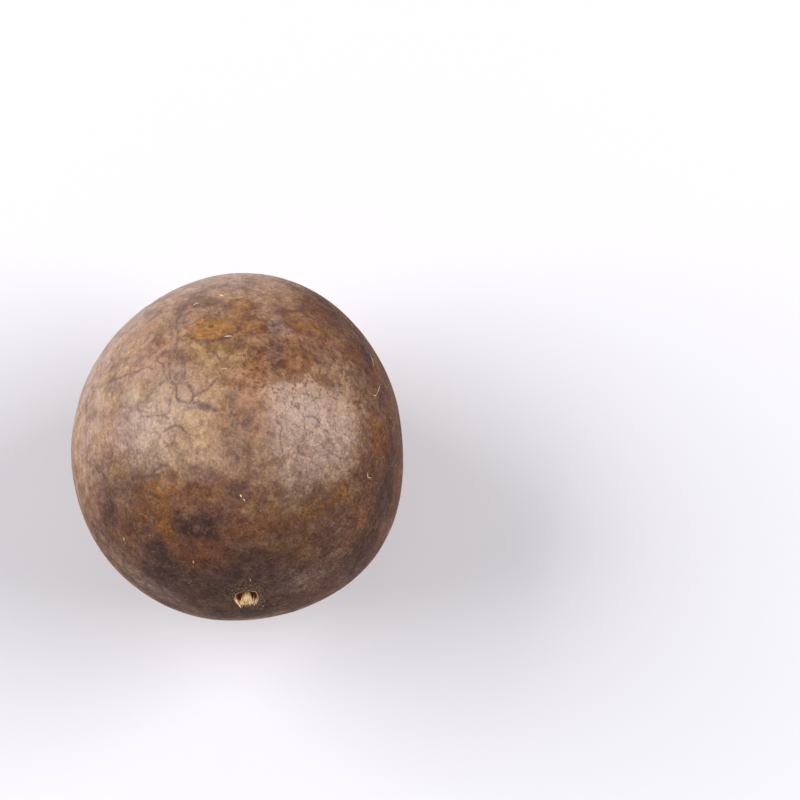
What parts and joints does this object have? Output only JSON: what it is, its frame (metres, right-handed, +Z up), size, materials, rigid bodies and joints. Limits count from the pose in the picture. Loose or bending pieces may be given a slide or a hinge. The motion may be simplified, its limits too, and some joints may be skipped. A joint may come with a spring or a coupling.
{
  "type": "monk fruit",
  "caption": "Dried monk fruit: a smooth, slightly egg-shaped brown rind lying on a small flat spot, with a torn stalk stub in its stem scar.",
  "frame": {"origin": "on the ground, under the middle of the fruit, on the flat spot that it rests on", "axes": "+Z up; -Y towards the stem end, whose axis rises 17 degrees from level; +X to the fruit's right as seen from the stem end"},
  "size_m": [0.0608, 0.0648, 0.0608],
  "materials": {
    "rind": "dry brown gourd-like rind with a low waxy sheen",
    "stalk_fibre": "pale torn plant fibre, matt"
  },
  "bodies": {
    "root": {"fruit": "rind", "stem_stub": "stalk_fibre"}
  },
  "joints": []
}
